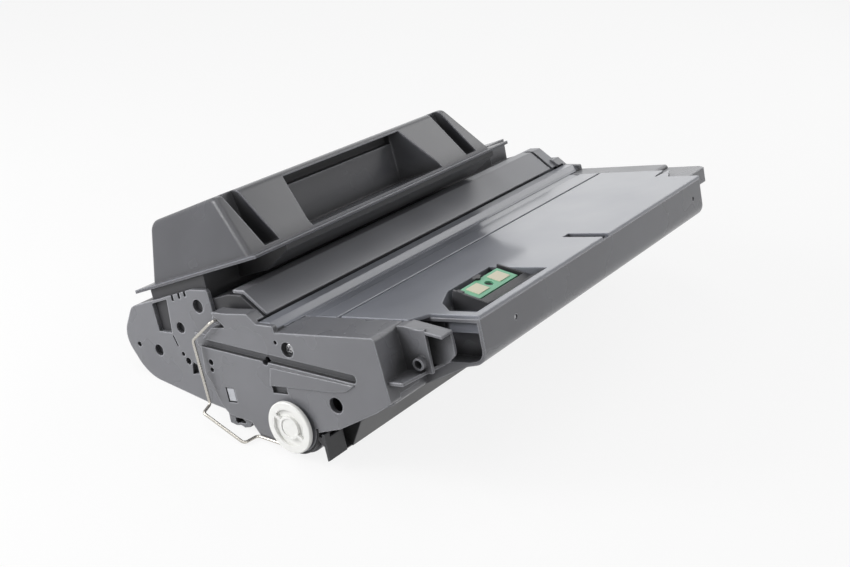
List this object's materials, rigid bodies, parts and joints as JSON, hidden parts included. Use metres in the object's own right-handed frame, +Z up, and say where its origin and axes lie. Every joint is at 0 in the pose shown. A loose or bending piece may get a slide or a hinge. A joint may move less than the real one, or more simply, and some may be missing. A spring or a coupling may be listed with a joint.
{
  "type": "toner cartridge",
  "caption": "Long laser printer toner cartridge: flat-topped drum unit with side covers and a sprung drum shutter, joined to a toner hopper with a raised hand grip.",
  "frame": {"origin": "bottom centre of the overall box, at the height of the table it stands on", "axes": "+X along the drum from the guide disc end to the drive coupling end, +Y from the flat platform towards the hand grip, +Z up"},
  "size_m": [0.3798, 0.253, 0.1321],
  "materials": {
    "blade_rubber": "satin",
    "charcoal": "fine moulded texture",
    "chrome_screw": "bright",
    "clear_film": "film",
    "dark_resin": "matte",
    "gloss_charcoal": "satin gloss",
    "green_board": "solder mask",
    "magnet_black": "matte",
    "pad_cream": "satin",
    "photoconductor": "coated satin",
    "roller_rubber": "matte",
    "shutter_resin": "satin",
    "sleeve_metal": "blasted",
    "steel": "ground",
    "white_resin": "satin",
    "window_resin": "satin",
    "wire_steel": "bright drawn",
    "zinc_steel": "zinc plated"
  },
  "bodies": {
    "housing": {"left_side_cover": "charcoal", "right_side_cover": "charcoal", "waste_bin": "charcoal", "platform_cover": "gloss_charcoal", "exposure_bar": "gloss_charcoal", "drum_pin": "steel", "drum_bearing_disc": "white_resin", "drum_right_bearing": "white_resin", "charge_bearing_left": "white_resin", "charge_bearing_right": "white_resin", "cleaning_bracket": "zinc_steel", "cleaning_blade": "blade_rubber", "cleaning_screws": "chrome_screw", "chip_tray": "dark_resin", "chip_board": "green_board", "chip_contacts": "pad_cream", "developer_housing": "charcoal", "sleeve_bush_left": "white_resin", "sleeve_bush_right": "white_resin", "magnet_core": "magnet_black", "doctor_bracket": "zinc_steel", "doctor_blade": "blade_rubber", "toner_hopper": "charcoal", "idler_post": "steel", "hopper_end_cap": "charcoal", "gear_cover": "charcoal", "handle_cover": "charcoal", "sloped_panel": "charcoal", "toner_window": "window_resin", "cover_screws": "chrome_screw", "front_screws": "chrome_screw"},
    "drum": {"drum_tube": "photoconductor", "drum_left_flange": "white_resin", "drum_drive_flange": "white_resin"},
    "charge_roller": {"charge_roller_shaft": "steel", "charge_roller_rubber": "roller_rubber"},
    "sleeve": {"magnetic_sleeve": "sleeve_metal", "sleeve_gear": "white_resin"},
    "idler": {"idler_gear": "white_resin"},
    "agitator": {"agitator_shaft": "dark_resin", "agitator_gear": "white_resin", "agitator_sheet": "clear_film"},
    "links": {"shutter_link_left": "wire_steel", "shutter_link_right": "wire_steel"},
    "shutter": {"drum_shutter": "shutter_resin"}
  },
  "joints": [
    {"name": "drum_spin", "type": "hinge", "parent": "housing", "child": "drum", "pos_m": [0, -0.02454, 0.0197], "axis": [1, 0, 0], "continuous": true},
    {"name": "charge_roller_spin", "type": "hinge", "parent": "housing", "child": "charge_roller", "pos_m": [0, -0.02406, 0.04099], "axis": [1, 0, 0], "continuous": true},
    {"name": "sleeve_spin", "type": "hinge", "parent": "housing", "child": "sleeve", "pos_m": [0, 0.00089, 0.01779], "axis": [1, 0, 0], "continuous": true},
    {"name": "idler_spin", "type": "hinge", "parent": "housing", "child": "idler", "pos_m": [0, 0.03209, 0.0313], "axis": [1, 0, 0], "continuous": true},
    {"name": "agitator_spin", "type": "hinge", "parent": "housing", "child": "agitator", "pos_m": [0, 0.08309, 0.03146], "axis": [1, 0, 0], "continuous": true},
    {"name": "shutter_link_swing", "type": "hinge", "parent": "housing", "child": "links", "pos_m": [0, 0.03555, 0.06735], "axis": [1, 0, 0], "range_deg": [0, 18], "stiffness_Nm_per_rad": 0.12, "springref_deg": -28.65},
    {"name": "shutter_turn", "type": "hinge", "parent": "links", "child": "shutter", "pos_m": [0, -0.02103, 0.00284], "axis": [1, 0, 0], "range_deg": [0, 72]}
  ],
  "couplings": [
    {"joint": "sleeve_spin", "follows": "drum_spin", "ratio": -1.55},
    {"joint": "idler_spin", "follows": "drum_spin", "ratio": 0.64583},
    {"joint": "agitator_spin", "follows": "drum_spin", "ratio": -0.57407},
    {"joint": "charge_roller_spin", "follows": "drum_spin", "ratio": -2.5},
    {"joint": "shutter_turn", "follows": "shutter_link_swing", "ratio": 4}
  ]
}
